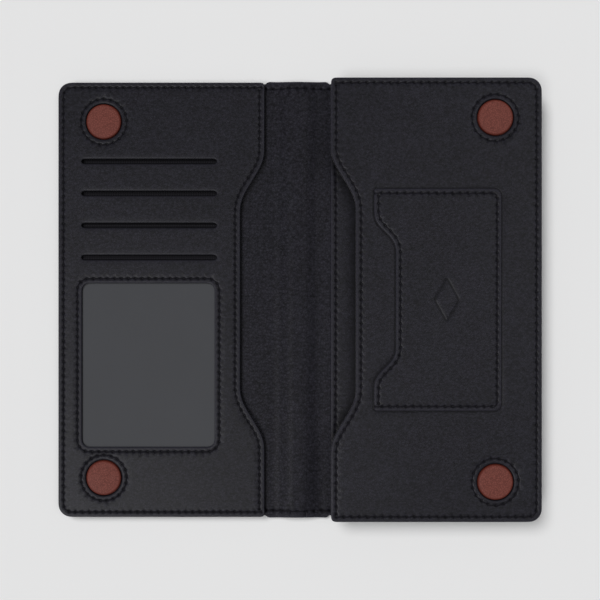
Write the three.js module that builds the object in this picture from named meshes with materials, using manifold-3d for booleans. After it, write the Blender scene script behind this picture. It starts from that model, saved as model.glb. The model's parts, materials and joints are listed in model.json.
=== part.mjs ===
// A leather phone wallet, lying open on its cover: a card leaf on the left, a phone sleeve on the right and
// a soft spine between them. Millimetres, +Z up, +X towards the phone sleeve. The origin lies under the
// middle of the spine, on the face that the open wallet rests on.
import * as THREE from "three";
import { mergeVertices } from "three/addons/utils/BufferGeometryUtils.js";
import Module from "manifold-3d";

const wasm = await Module();
wasm.setup();

// ---------------------------------------------------------------- driving dimensions
const LEAF_EDGE = 100; // outer edge of each leaf, from the middle of the spine
const HEIGHT = 181.8; // along the spine
const CORNER_R = 5.2;
const SQUARE_CORNER_R = 1.5; // corners of the sleeve next to the spine
const LAYER_GAP = 0.05; // between glued or stacked layers

const LEATHER_T = 1; // inner panels
const COVER_T = 1.1;
const LINING_T = 0.4;
const BOARD_T = 0.5;
const BOARD_INSET = 3.5;

// The spine is two halves that meet in a low ridge while the wallet lies open.
const SPINE_HALF = 8.2; // length of one half, from crease to ridge
const RIDGE_RISE = 2.6;
const CREASE_X = Math.sqrt(SPINE_HALF ** 2 - RIDGE_RISE ** 2);
const CREASE_Z = COVER_T + LAYER_GAP + LINING_T; // both creases turn on the face of the lining
const CREASE_STRIP = 2.8; // soft strip beside a crease, free of board
const CREASE_SLOPE = 0.8;

// Both pocket mouths have the same waved edge: distance from the spine's middle, and where the wave turns.
const MOUTH = { outer: 13.8, inner: 24, turnOut: 62, turnIn: 37.5, pull: 8.5 };
const PATCH = {
  left: 31.4,
  right: 83.3,
  halfHeight: 45.3,
  cornerR: 2.9,
  thickness: 0.9,
  wave: { outer: 31.4, inner: 40.3, turnOut: 35.5, turnIn: 20, pull: 7 },
};

// Card leaf.
const NOTE_GAP = 0.4; // the empty note pocket
const BACKING_T = 0.3;
const PLY_T = 0.12; // lining ply behind each card slot
const PLY_GAP = 0.06;
const FILM_T = 0.25;
const RIM_WIDTH = 4.5; // leather turned under round the card panel
const CARD_INSERTION = 82; // how far a card goes into its slot
const SLOT = { centreX: -62.05, length: 56.9, width: 1.7, topY: 57.9, pitch: 13.4, count: 4 };
const PLY_WIDTH = 60;
const PLY_ABOVE_SLOT = 3;
const WINDOW = { left: -90.2, right: -34.6, top: 7, bottom: -61.7, cornerR: 3 };
const FILM_BORDER = 3;

// Phone sleeve.
const PHONE_GAP = 8; // inside height of the sleeve
const SLEEVE_BACK_EDGE = 14.1;
const SLEEVE_LINING_T = 0.35;
const SLEEVE_BOARD_T = 0.8;
const GUSSET = { inset: 0.8, thickness: 1.8 };

// Magnetic closure: a magnet under a leather disc, showing through a round hole in the panel.
const SNAP = { x: 81, y: 74.5, holeR: 7.5, discR: 7.2, flangeR: 9.5, flangeT: 0.75, dome: 0.5, ringR: 9.6 };
const MAGNET = { r: 6, thickness: 1.2, clearance: 0.1 };
const SNAP_BOARD_HOLE_R = 9.8;

// Thread lies in a shallow groove.
const STITCH_MARGIN = 2.1;
const PATCH_STITCH_MARGIN = 1.8;
const WINDOW_STITCH_MARGIN = 1.9;
const THREAD = { width: 0.5, depth: 0.34, proud: 0.03, grooveWidth: 0.6, grooveDepth: 0.4 };

const EMBLEM = { x: 61, halfWidth: 5, halfHeight: 9, line: 0.7, depth: 0.25 };

// ---------------------------------------------------------------- heights of the layers
const BOARD_Z = COVER_T + LAYER_GAP;
const LINING_TOP = BOARD_Z + BOARD_T + LAYER_GAP + LINING_T;

const BACKING_Z = LINING_TOP + NOTE_GAP;
const FIRST_PLY_Z = BACKING_Z + BACKING_T + PLY_GAP;
const FILM_Z = FIRST_PLY_Z + SLOT.count * (PLY_T + PLY_GAP) + PLY_GAP / 2;
const CARD_PANEL_Z = FILM_Z + FILM_T + LAYER_GAP;
const CARD_PANEL_TOP = CARD_PANEL_Z + LEATHER_T;

const SLEEVE_BACK_Z = LINING_TOP + LAYER_GAP;
const SLEEVE_BACK_TOP = SLEEVE_BACK_Z + LEATHER_T;
const SLEEVE_LINING_Z = SLEEVE_BACK_TOP + PHONE_GAP;
const SLEEVE_BOARD_Z = SLEEVE_LINING_Z + SLEEVE_LINING_T + LAYER_GAP;
const SLEEVE_FRONT_Z = SLEEVE_BOARD_Z + SLEEVE_BOARD_T + LAYER_GAP;
const SLEEVE_TOP = SLEEVE_FRONT_Z + LEATHER_T;
const PATCH_Z = SLEEVE_TOP + LAYER_GAP;
const PATCH_TOP = PATCH_Z + PATCH.thickness;

// ---------------------------------------------------------------- materials
const standard = (color, roughness, metalness = 0) =>
  new THREE.MeshStandardMaterial({ color, roughness, metalness });
const BLACK_LEATHER = standard(0x2a292e, 0.55);
const GRAINED_LINING = standard(0x252429, 0.65);
const SUEDE = standard(0x1d1c20, 0.9);
const BOARD = standard(0x4a4844, 0.85);
const FABRIC = standard(0x141416, 0.9);
const THREAD_BLACK = standard(0x111113, 0.7);
const TAN_LEATHER = standard(0x6a3c33, 0.5);
const NICKEL = standard(0xb9b8b4, 0.3, 1);
const FILM = standard(0x47484b, 0.25);

// ---------------------------------------------------------------- outlines, as lists of Vector2
const point = (x, y) => new THREE.Vector2(x, y);

// Every outline is drawn for the right-hand leaf. The left-hand one is its mirror image.
const onSide = (side, points) => (side > 0 ? points : points.map((p) => point(-p.x, p.y)));

function arc(cx, cy, radius, from, to, steps = 8) {
  return Array.from({ length: steps + 1 }, (_, i) => {
    const angle = from + ((to - from) * i) / steps;
    return point(cx + radius * Math.cos(angle), cy + radius * Math.sin(angle));
  });
}

const circle = (cx, cy, radius, steps = 32) => arc(cx, cy, radius, 0, 2 * Math.PI, steps).slice(0, -1);

function roundedRectangle(left, bottom, right, top, radius) {
  const quarter = Math.PI / 2;
  return [
    ...arc(left + radius, bottom + radius, radius, 2 * quarter, 3 * quarter),
    ...arc(right - radius, bottom + radius, radius, 3 * quarter, 4 * quarter),
    ...arc(right - radius, top - radius, radius, 0, quarter),
    ...arc(left + radius, top - radius, radius, quarter, 2 * quarter),
  ];
}

const rectangle = (left, bottom, right, top) => [
  point(left, bottom),
  point(right, bottom),
  point(right, top),
  point(left, top),
];

// Moves an open path sideways, to its right for a positive distance.
function shifted(path, distance) {
  return path.map((p, i) => {
    const before = path[Math.max(i - 1, 0)];
    const after = path[Math.min(i + 1, path.length - 1)];
    const along = after.clone().sub(before).normalize();
    return point(p.x + along.y * distance, p.y - along.x * distance);
  });
}

// The waved edge from bottom to top, moved into the panel by inset.
function wavedEdge(wave, endY, inset = 0) {
  const path = new THREE.Path();
  path.moveTo(wave.outer, -endY);
  path.lineTo(wave.outer, -wave.turnOut);
  path.bezierCurveTo(
    wave.outer,
    -wave.turnOut + wave.pull,
    wave.inner,
    -wave.turnIn - wave.pull,
    wave.inner,
    -wave.turnIn,
  );
  path.lineTo(wave.inner, wave.turnIn);
  path.bezierCurveTo(
    wave.inner,
    wave.turnIn + wave.pull,
    wave.outer,
    wave.turnOut - wave.pull,
    wave.outer,
    wave.turnOut,
  );
  path.lineTo(wave.outer, endY);
  return shifted(path.getPoints(10), inset);
}

// Three sides of a leaf: along its bottom, up its outer edge and back along its top.
function outerSides(innerX, inset) {
  const edge = LEAF_EDGE - inset;
  const half = HEIGHT / 2 - inset;
  const radius = CORNER_R - inset;
  return [
    point(innerX, -half),
    ...arc(edge - radius, -half + radius, radius, -Math.PI / 2, 0),
    ...arc(edge - radius, half - radius, radius, 0, Math.PI / 2),
    point(innerX, half),
  ];
}

const leafOutline = (innerX, inset = 0) => outerSides(innerX, inset);

// A leaf panel with a waved mouth. mouthInset and inset move the mouth and the other three sides inwards.
function mouthPanel(inset = 0, mouthInset = 0) {
  const half = HEIGHT / 2 - inset;
  const mouth = wavedEdge(MOUTH, half, mouthInset).reverse();
  const sides = outerSides(MOUTH.outer + mouthInset, inset).slice(1, -1);
  return [...sides, ...mouth];
}

function patchOutline() {
  const { right, halfHeight, cornerR, wave } = PATCH;
  return [
    ...arc(right - cornerR, -halfHeight + cornerR, cornerR, -Math.PI / 2, 0),
    ...arc(right - cornerR, halfHeight - cornerR, cornerR, 0, Math.PI / 2),
    ...wavedEdge(wave, halfHeight).reverse(),
  ];
}

// ---------------------------------------------------------------- solids
function extruded(outline, z0, z1, holes = []) {
  const shape = new THREE.Shape(outline);
  shape.holes = holes.map((hole) => new THREE.Path(hole));
  return new THREE.ExtrudeGeometry(shape, { depth: z1 - z0, bevelEnabled: false }).translate(0, 0, z0);
}

// A cross-section of [x, z] points, swept along Y.
function sweptAlongY(section, y0, y1) {
  const shape = new THREE.Shape(section.map(([x, z]) => point(x, -z)));
  const geometry = new THREE.ExtrudeGeometry(shape, { depth: y1 - y0, bevelEnabled: false });
  return geometry.rotateX(-Math.PI / 2).translate(0, y0, 0);
}

function solid(geometry) {
  const bare = geometry.clone();
  bare.deleteAttribute("normal");
  bare.deleteAttribute("uv");
  const merged = mergeVertices(bare, 1e-4);
  return new wasm.Manifold(
    new wasm.Mesh({
      numProp: 3,
      vertProperties: new Float32Array(merged.attributes.position.array),
      triVerts: new Uint32Array(merged.index.array),
    }),
  );
}

function geometryOf(manifold) {
  const mesh = manifold.getMesh();
  const geometry = new THREE.BufferGeometry();
  geometry.setAttribute("position", new THREE.BufferAttribute(new Float32Array(mesh.vertProperties), 3));
  geometry.setIndex(new THREE.BufferAttribute(new Uint32Array(mesh.triVerts), 1));
  geometry.computeVertexNormals();
  return geometry;
}

const cutBy = (geometry, cutters) =>
  geometryOf(cutters.reduce((left, cutter) => left.subtract(solid(cutter)), solid(geometry)));

const joined = (...geometries) =>
  geometryOf(geometries.map(solid).reduce((sum, next) => sum.add(next)));

// ---------------------------------------------------------------- thread runs and their grooves
// A run follows an open path or a closed loop on a flat face. facing is 1 on a top face and -1 on an underside.
function ribbon(run, width, z0, z1) {
  if (run.loop) return extruded(run.loop(width / 2), z0, z1, [run.loop(-width / 2)]);
  const right = shifted(run.path, width / 2);
  const left = shifted(run.path, -width / 2).reverse();
  return extruded([...right, ...left], z0, z1);
}

function threadOf(run) {
  const { z, facing = 1 } = run;
  const proud = z + facing * THREAD.proud;
  const sunk = z - facing * THREAD.depth;
  return facing > 0
    ? ribbon(run, THREAD.width, sunk, proud)
    : ribbon(run, THREAD.width, z + THREAD.proud, sunk);
}

const grooveOf = ({ z, facing = 1, ...run }) =>
  facing > 0
    ? ribbon(run, THREAD.grooveWidth, z - THREAD.grooveDepth, z + 1)
    : ribbon(run, THREAD.grooveWidth, z - 1, z + THREAD.grooveDepth);

const perimeterRun = (side, innerX, z, facing) => ({
  path: onSide(side, outerSides(innerX, STITCH_MARGIN)),
  z,
  facing,
});

const mouthRun = (side, z) => ({
  path: onSide(side, wavedEdge(MOUTH, HEIGHT / 2 - STITCH_MARGIN - 1, STITCH_MARGIN)),
  z,
});

const ringRun = (x, y, z) => ({ loop: (offset) => circle(x, y, SNAP.ringR + offset), z });

// ---------------------------------------------------------------- magnetic closure
const snapPlaces = (side) =>
  [
    ["top", side * SNAP.x, SNAP.y],
    ["bottom", side * SNAP.x, -SNAP.y],
  ];

const snapHoles = (side) => snapPlaces(side).map(([, x, y]) => circle(x, y, SNAP.holeR));

// The leather disc under a panel: a thin flange, and a low dome that stands through the panel's hole.
function snapDisc(x, y, panelZ, panelTop) {
  const flangeTop = panelZ - LAYER_GAP;
  const flangeZ = flangeTop - SNAP.flangeT;
  const recessR = MAGNET.r + MAGNET.clearance;
  const recessTop = flangeZ + MAGNET.thickness + MAGNET.clearance;
  const shoulder = panelTop - SNAP.dome;
  const domeTop = panelTop + SNAP.dome;
  const profile = [
    point(recessR, flangeZ),
    point(SNAP.flangeR, flangeZ),
    point(SNAP.flangeR, flangeTop),
    point(SNAP.discR, flangeTop),
    ...new THREE.QuadraticBezierCurve(
      point(SNAP.discR, shoulder),
      point(SNAP.discR, domeTop - SNAP.dome / 4),
      point(SNAP.discR * 0.7, domeTop - SNAP.dome / 8),
    ).getPoints(5),
    point(0, domeTop),
    point(0, recessTop),
    point(recessR, recessTop),
    point(recessR, flangeZ),
  ];
  return new THREE.LatheGeometry(profile, 32).rotateX(Math.PI / 2).translate(x, y, 0);
}

function magnet(x, y, panelZ) {
  const z = panelZ - LAYER_GAP - SNAP.flangeT;
  return extruded(circle(x, y, MAGNET.r), z, z + MAGNET.thickness);
}

// ---------------------------------------------------------------- cover, board and lining of a leaf
function leafCover(side, threadRun) {
  const cover = extruded(onSide(side, leafOutline(CREASE_X + LAYER_GAP)), 0, COVER_T);
  return cutBy(cover, [grooveOf(threadRun)]);
}

const boardOutline = (side, grow = 0) =>
  onSide(side, leafOutline(CREASE_X + CREASE_STRIP + CREASE_SLOPE + 1 - grow, BOARD_INSET - grow));

const leafBoard = (side) => extruded(boardOutline(side), BOARD_Z, BOARD_Z + BOARD_T);

// The lining lies over the board, closes down to the cover round it and is bare beside the crease.
function leafLining(side) {
  const inner = CREASE_X + LAYER_GAP;
  const sheet = extruded(onSide(side, leafOutline(inner)), BOARD_Z, LINING_TOP);
  const boardRoom = extruded(boardOutline(side, 0.1), BOARD_Z - 1, BOARD_Z + BOARD_T + LAYER_GAP);
  const stripEnd = inner + CREASE_STRIP;
  const aboveStrip = [
    [side * (inner - 1), CREASE_Z],
    [side * stripEnd, CREASE_Z],
    [side * (stripEnd + CREASE_SLOPE), LINING_TOP],
    [side * (stripEnd + CREASE_SLOPE), LINING_TOP + 1],
    [side * (inner - 1), LINING_TOP + 1],
  ];
  const strip = sweptAlongY(aboveStrip, -HEIGHT, HEIGHT);
  return cutBy(sheet, [boardRoom, strip]);
}

// ---------------------------------------------------------------- spine
// A layer of one spine half, between two depths below the lining's face. It is square to its face at the
// crease and mitred at the ridge, so that the halves open on the outside when the wallet folds shut.
function spineLayer(side, top, bottom) {
  const up = RIDGE_RISE / SPINE_HALF;
  const out = CREASE_X / SPINE_HALF;
  const atCrease = (depth) => [side * (CREASE_X - up * depth - LAYER_GAP), CREASE_Z - out * depth];
  const atRidge = (depth) => [side * LAYER_GAP, CREASE_Z + RIDGE_RISE - depth / out];
  return sweptAlongY(
    [atCrease(top), atRidge(top), atRidge(bottom), atCrease(bottom)],
    -HEIGHT / 2,
    HEIGHT / 2,
  );
}

const spineLining = (side) => spineLayer(side, 0, LINING_T);
const spineCover = (side) => spineLayer(side, LINING_T + LAYER_GAP, LINING_T + LAYER_GAP + COVER_T);

// A thread along the top or bottom end of a spine half, sunk in a groove across its lining.
function spineRibbon(side, end, width, above, below) {
  const y = end * (HEIGHT / 2 - STITCH_MARGIN);
  const out = CREASE_X / SPINE_HALF;
  const lift = (x) => CREASE_Z + ((CREASE_X - x) * RIDGE_RISE) / CREASE_X;
  const from = CREASE_X - 0.6;
  const to = 0.6;
  const section = [
    [side * from, lift(from) + above / out],
    [side * to, lift(to) + above / out],
    [side * to, lift(to) - below / out],
    [side * from, lift(from) - below / out],
  ];
  return sweptAlongY(section, y - width / 2, y + width / 2);
}

const SPINE_THREAD_DEPTH = 0.2;
const spineThread = (side, end) =>
  spineRibbon(side, end, THREAD.width, THREAD.proud, SPINE_THREAD_DEPTH);
const spineGroove = (side, end) =>
  spineRibbon(side, end, THREAD.grooveWidth, 1, SPINE_THREAD_DEPTH + LAYER_GAP);
const groovedSpineLining = (side) =>
  cutBy(spineLining(side), [spineGroove(side, 1), spineGroove(side, -1)]);

// ---------------------------------------------------------------- card leaf
const slotY = (index) => SLOT.topY - index * SLOT.pitch;

function slotOutline(index) {
  const halfLength = SLOT.length / 2;
  const halfWidth = SLOT.width / 2;
  return roundedRectangle(
    SLOT.centreX - halfLength,
    slotY(index) - halfWidth,
    SLOT.centreX + halfLength,
    slotY(index) + halfWidth,
    halfWidth * 0.99,
  );
}

const windowOutline = (grow = 0) =>
  roundedRectangle(
    WINDOW.left - grow,
    WINDOW.bottom - grow,
    WINDOW.right + grow,
    WINDOW.top + grow,
    WINDOW.cornerR + grow,
  );

const windowRun = {
  loop: (offset) => windowOutline(WINDOW_STITCH_MARGIN + offset),
  z: CARD_PANEL_TOP,
};

// The panel's leather turns under: down to the lining on three sides, and to the backing along the mouth.
function cardPanel(runs) {
  const holes = [...Array(SLOT.count).keys()].map(slotOutline);
  const face = extruded(
    onSide(-1, mouthPanel()),
    CARD_PANEL_Z,
    CARD_PANEL_TOP,
    [...holes, windowOutline(), ...snapHoles(-1)],
  );
  const overlap = CARD_PANEL_Z + LEATHER_T / 2;
  const rimZ = LINING_TOP + LAYER_GAP;
  const sideRim = extruded(onSide(-1, mouthPanel()), rimZ, overlap);
  const sideRoom = extruded(onSide(-1, mouthPanel(RIM_WIDTH, -RIM_WIDTH)), rimZ - 1, overlap + 1);
  const mouthRim = extruded(
    onSide(-1, mouthPanel(RIM_WIDTH - 0.5)),
    BACKING_Z + BACKING_T + LAYER_GAP,
    overlap,
  );
  const mouthRoom = extruded(onSide(-1, mouthPanel(RIM_WIDTH, RIM_WIDTH)), rimZ - 1, overlap + 1);
  const rim = joined(cutBy(sideRim, [sideRoom]), cutBy(mouthRim, [mouthRoom]));
  return cutBy(joined(face, rim), runs.map(grooveOf));
}

const cardBacking = () =>
  extruded(
    onSide(-1, mouthPanel(RIM_WIDTH + 0.2)),
    BACKING_Z,
    BACKING_Z + BACKING_T,
  );

// One ply behind each slot. It is fixed just above its slot, and the card lies in front of it.
function cardPly(index) {
  const z = FIRST_PLY_Z + index * (PLY_T + PLY_GAP);
  const left = SLOT.centreX - PLY_WIDTH / 2;
  const top = slotY(index) + PLY_ABOVE_SLOT;
  const bottom = slotY(index) - CARD_INSERTION;
  return extruded(rectangle(left, bottom, left + PLY_WIDTH, top), z, z + PLY_T);
}

// ---------------------------------------------------------------- phone sleeve
const sleeveBackRun = {
  path: [
    point(SLEEVE_BACK_EDGE + STITCH_MARGIN, -MOUTH.turnOut + 3),
    point(SLEEVE_BACK_EDGE + STITCH_MARGIN, MOUTH.turnOut - 3),
  ],
  z: SLEEVE_BACK_TOP,
};

const sleeveBack = () =>
  cutBy(extruded(leafOutline(SLEEVE_BACK_EDGE), SLEEVE_BACK_Z, SLEEVE_BACK_TOP), [grooveOf(sleeveBackRun)]);

// The wall between the back and the front of the sleeve, open towards the spine.
function sleeveGusset() {
  const z0 = SLEEVE_BACK_TOP + LAYER_GAP;
  const z1 = SLEEVE_FRONT_Z - LAYER_GAP;
  const wall = extruded(leafOutline(SLEEVE_BACK_EDGE + 0.5, GUSSET.inset), z0, z1);
  const room = leafOutline(SLEEVE_BACK_EDGE - 1, GUSSET.inset + GUSSET.thickness);
  return cutBy(wall, [extruded(room, z0 - 1, z1 + 1)]);
}

const insideGusset = GUSSET.inset + GUSSET.thickness + 0.2;
const sleeveLining = () =>
  extruded(mouthPanel(insideGusset), SLEEVE_LINING_Z, SLEEVE_LINING_Z + SLEEVE_LINING_T);

function sleeveBoard() {
  const outline = mouthPanel(insideGusset, 0.6);
  const holes = snapPlaces(1).map(([, x, y]) => circle(x, y, SNAP_BOARD_HOLE_R));
  return extruded(outline, SLEEVE_BOARD_Z, SLEEVE_BOARD_Z + SLEEVE_BOARD_T, holes);
}

function sleeveFront(runs) {
  const face = extruded(mouthPanel(), SLEEVE_FRONT_Z, SLEEVE_TOP, snapHoles(1));
  const corner = (end) => {
    const x = MOUTH.outer;
    const y = (end * HEIGHT) / 2;
    const centre = point(x + SQUARE_CORNER_R, y - end * SQUARE_CORNER_R);
    const turn = arc(centre.x, centre.y, SQUARE_CORNER_R, Math.PI, Math.PI - (end * Math.PI) / 2, 5);
    return extruded([...turn, point(centre.x, y + end), point(x - 1, y + end), point(x - 1, centre.y)],
      SLEEVE_FRONT_Z - 1, SLEEVE_TOP + 1);
  };
  return cutBy(face, [corner(1), corner(-1), ...runs.map(grooveOf)]);
}

const patchMouthRun = {
  path: wavedEdge(PATCH.wave, PATCH.halfHeight - PATCH_STITCH_MARGIN - 1, PATCH_STITCH_MARGIN),
  z: PATCH_TOP,
};

function patchPerimeterRun() {
  const { right, halfHeight, cornerR, left } = PATCH;
  const edge = right - PATCH_STITCH_MARGIN;
  const half = halfHeight - PATCH_STITCH_MARGIN;
  const radius = cornerR - PATCH_STITCH_MARGIN;
  return {
    path: [
      point(left, -half),
      ...arc(edge - radius, -half + radius, radius, -Math.PI / 2, 0, 5),
      ...arc(edge - radius, half - radius, radius, 0, Math.PI / 2, 5),
      point(left, half),
    ],
    z: PATCH_TOP,
  };
}

// A plain lozenge pressed into the patch.
function emblem() {
  const lozenge = (shrink) => {
    const w = EMBLEM.halfWidth - shrink;
    const h = EMBLEM.halfHeight - (shrink * EMBLEM.halfHeight) / EMBLEM.halfWidth;
    return [
      point(EMBLEM.x - w, 0),
      point(EMBLEM.x, -h),
      point(EMBLEM.x + w, 0),
      point(EMBLEM.x, h),
    ];
  };
  return extruded(lozenge(0), PATCH_TOP - EMBLEM.depth, PATCH_TOP + 1, [lozenge(EMBLEM.line)]);
}

const patchPocket = (runs) =>
  cutBy(extruded(patchOutline(), PATCH_Z, PATCH_TOP), [emblem(), ...runs.map(grooveOf)]);

// ---------------------------------------------------------------- assembly
const wallet = new THREE.Group();

function add(name, geometry, material) {
  const mesh = new THREE.Mesh(geometry, material);
  mesh.name = name;
  wallet.add(mesh);
}

function addSnaps(side, word, panelZ, panelTop) {
  for (const [end, x, y] of snapPlaces(side)) {
    add(`magnet_${word}_${end}`, magnet(x, y, panelZ), NICKEL);
    add(`snap_disc_${word}_${end}`, snapDisc(x, y, panelZ, panelTop), TAN_LEATHER);
    add(`thread_ring_${word}_${end}`, threadOf(ringRun(x, y, panelTop)), THREAD_BLACK);
  }
}

function addLeafShell(side, word) {
  const coverRun = perimeterRun(side, CREASE_X + 1, 0, -1);
  add(`${word}_leaf_cover`, leafCover(side, coverRun), BLACK_LEATHER);
  add(`${word}_leaf_board`, leafBoard(side), BOARD);
  add(`${word}_leaf_lining`, leafLining(side), GRAINED_LINING);
  add(`thread_${word}_leaf_cover`, threadOf(coverRun), THREAD_BLACK);
}

function addSpineHalf(side, word) {
  add(`spine_${word}_cover`, spineCover(side), BLACK_LEATHER);
  add(`spine_${word}_lining`, groovedSpineLining(side), GRAINED_LINING);
  add(`thread_spine_${word}_top`, spineThread(side, 1), THREAD_BLACK);
  add(`thread_spine_${word}_bottom`, spineThread(side, -1), THREAD_BLACK);
}

function addCardLeaf() {
  const perimeter = perimeterRun(-1, MOUTH.outer + 1, CARD_PANEL_TOP);
  const mouth = mouthRun(-1, CARD_PANEL_TOP);
  const rings = snapPlaces(-1).map(([, x, y]) => ringRun(x, y, CARD_PANEL_TOP));
  addLeafShell(-1, "card");
  add("card_backing", cardBacking(), SUEDE);
  for (let index = 0; index < SLOT.count; index += 1) {
    add(`card_ply_${index + 1}`, cardPly(index), FABRIC);
  }
  add("id_window", extruded(windowOutline(FILM_BORDER), FILM_Z, FILM_Z + FILM_T), FILM);
  add("card_panel", cardPanel([perimeter, mouth, windowRun, ...rings]), BLACK_LEATHER);
  add("thread_card_perimeter", threadOf(perimeter), THREAD_BLACK);
  add("thread_card_mouth", threadOf(mouth), THREAD_BLACK);
  add("thread_window", threadOf(windowRun), THREAD_BLACK);
  addSnaps(-1, "left", CARD_PANEL_Z, CARD_PANEL_TOP);
}

function addPhoneLeaf() {
  const perimeter = perimeterRun(1, MOUTH.outer + 2, SLEEVE_TOP);
  const mouth = mouthRun(1, SLEEVE_TOP);
  const rings = snapPlaces(1).map(([, x, y]) => ringRun(x, y, SLEEVE_TOP));
  const patchRuns = [patchPerimeterRun(), patchMouthRun];
  addLeafShell(1, "phone");
  add("sleeve_back", sleeveBack(), BLACK_LEATHER);
  add("sleeve_gusset", sleeveGusset(), BLACK_LEATHER);
  add("sleeve_lining", sleeveLining(), SUEDE);
  add("sleeve_board", sleeveBoard(), BOARD);
  add("sleeve_front", sleeveFront([perimeter, mouth, ...rings]), BLACK_LEATHER);
  add("patch_pocket", patchPocket(patchRuns), BLACK_LEATHER);
  add("thread_sleeve_perimeter", threadOf(perimeter), THREAD_BLACK);
  add("thread_sleeve_mouth", threadOf(mouth), THREAD_BLACK);
  add("thread_sleeve_back", threadOf(sleeveBackRun), THREAD_BLACK);
  add("thread_patch_perimeter", threadOf(patchRuns[0]), THREAD_BLACK);
  add("thread_patch_mouth", threadOf(patchRuns[1]), THREAD_BLACK);
  addSnaps(1, "right", SLEEVE_FRONT_Z, SLEEVE_TOP);
}

addPhoneLeaf();
addCardLeaf();
addSpineHalf(1, "right");
addSpineHalf(-1, "left");

export default wallet;
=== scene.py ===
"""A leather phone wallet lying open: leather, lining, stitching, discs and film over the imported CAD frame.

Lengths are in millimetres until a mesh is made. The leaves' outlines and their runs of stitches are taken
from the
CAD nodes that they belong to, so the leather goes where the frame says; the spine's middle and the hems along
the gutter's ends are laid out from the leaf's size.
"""
import json
import math

import bmesh
import bpy
import numpy as np
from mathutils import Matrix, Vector, noise
from mathutils.geometry import delaunay_2d_cdt


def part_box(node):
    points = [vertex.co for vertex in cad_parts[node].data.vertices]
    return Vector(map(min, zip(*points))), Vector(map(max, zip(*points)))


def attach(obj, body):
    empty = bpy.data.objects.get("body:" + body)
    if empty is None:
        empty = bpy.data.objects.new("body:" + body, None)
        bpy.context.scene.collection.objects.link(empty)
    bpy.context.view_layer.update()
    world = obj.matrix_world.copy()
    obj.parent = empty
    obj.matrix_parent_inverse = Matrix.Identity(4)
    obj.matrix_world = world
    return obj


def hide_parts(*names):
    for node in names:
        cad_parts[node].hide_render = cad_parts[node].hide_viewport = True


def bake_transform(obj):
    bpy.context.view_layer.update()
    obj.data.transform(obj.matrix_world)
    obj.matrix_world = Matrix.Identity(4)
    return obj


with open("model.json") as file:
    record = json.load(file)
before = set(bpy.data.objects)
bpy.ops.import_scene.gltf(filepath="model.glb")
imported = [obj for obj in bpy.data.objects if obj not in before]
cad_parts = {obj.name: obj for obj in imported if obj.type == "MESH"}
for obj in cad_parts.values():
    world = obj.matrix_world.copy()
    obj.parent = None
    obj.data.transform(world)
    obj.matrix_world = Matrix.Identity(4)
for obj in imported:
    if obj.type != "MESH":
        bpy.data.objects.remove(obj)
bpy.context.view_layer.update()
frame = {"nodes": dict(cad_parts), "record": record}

# ---------------------------------------------------------------- proportions that only the looks need
BOUNDARY_STEP = 0.9  # between the points along an edge
GRID_STEP = 2.3  # between the points inside a panel
EDGE_RINGS = (0.1, 0.26, 0.5, 0.95)  # distances from an edge where the mesh has a ring of points
PHONE_PITCH, CARD_PITCH, HEM_PITCH = 3.2, 2.9, 2.8  # one stitch
STEPS_A_STITCH = 6  # mesh points along one stitch
THREAD_R = 0.26
GROOVE, GROOVE_WIDTH = 0.16, 0.34  # how deep the line of a seam is pressed, and how wide
HOLE, HOLE_WIDTH = 0.5, 0.55  # where the needle went through
CUT_X = 3.6  # the spine's leather is in three pieces that meet here, in each half's stiff part
ARCH_RISE, ARCH_FLAT, ARCH_END = 2.5, 1.5, 11.4  # the spine's height, and where its slope starts and ends
CREASE_LEVEL = 1.55  # the height of both creases
FLARE = (0.46, 0.94)  # how far the spine's ends stand past the leaves: at its ridge, and beside the leaves
THREAD_PROUD = 0.03  # how far a CAD thread stands out of its leather
THREAD_PATH_STEP = 0.8
TURNED_EDGE, TURNED_STEP = 4.2, 1.4  # how wide the panel is turned under, and the slope where that ends
PLY_GAP = 0.06  # between layers that lie on each other
FLAT_SIDE = 0.98  # a disc's dome starts just short of its side
RIM_FADE = 0.7  # how fast the edge look fades from an edge: more gloss, a painted highlight on the black leather, and the tan discs' darker edge


def box_mm(node):
    low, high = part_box(node)
    return np.array(low) * 1000, np.array(high) * 1000


def ease(value):
    """Goes smoothly from 0 to 1 while value does."""
    t = np.clip(value, 0, 1)
    return t * t * (3 - 2 * t)


# ---------------------------------------------------------------- outlines read from the frame
def area(loop):
    x, y = loop[:, 0], loop[:, 1]
    return 0.5 * float(np.sum(x * np.roll(y, -1) - np.roll(x, -1) * y))


def flat_loops(node, z):
    """The edges of a node's flat faces at height z, as closed loops, the largest first, all anticlockwise."""
    mesh = frame["nodes"][node].data
    ids, points, of_vertex = {}, [], []
    for vertex in mesh.vertices:
        p = tuple(round(c * 1000, 4) for c in vertex.co)
        if p not in ids:
            ids[p] = len(points)
            points.append(p)
        of_vertex.append(ids[p])
    edges = set()
    for face in mesh.polygons:
        corners = [of_vertex[v] for v in face.vertices]
        if any(abs(points[c][2] - z) > 0.01 for c in corners):
            continue
        for a, b in zip(corners, corners[1:] + corners[:1]):
            edges.remove((b, a)) if (b, a) in edges else edges.add((a, b))
    following = dict(edges)
    loops = []
    while following:
        start, here = following.popitem()
        loop = [start]
        while here != start:
            loop.append(here)
            here = following.pop(here)
        loop = np.array([points[i][:2] for i in loop])
        loops.append(loop if area(loop) > 0 else loop[::-1])
    return sorted(loops, key=lambda one: -abs(area(one)))


def resampled(path, step, closed):
    pts = np.vstack([path, path[:1]]) if closed else np.asarray(path, float)
    s = np.concatenate([[0], np.cumsum(np.hypot(*np.diff(pts, axis=0).T))])
    t = np.linspace(0, s[-1], max(4, round(s[-1] / step)) + 1)
    out = np.column_stack([np.interp(t, s, pts[:, 0]), np.interp(t, s, pts[:, 1])])
    return out[:-1] if closed else out


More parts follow.
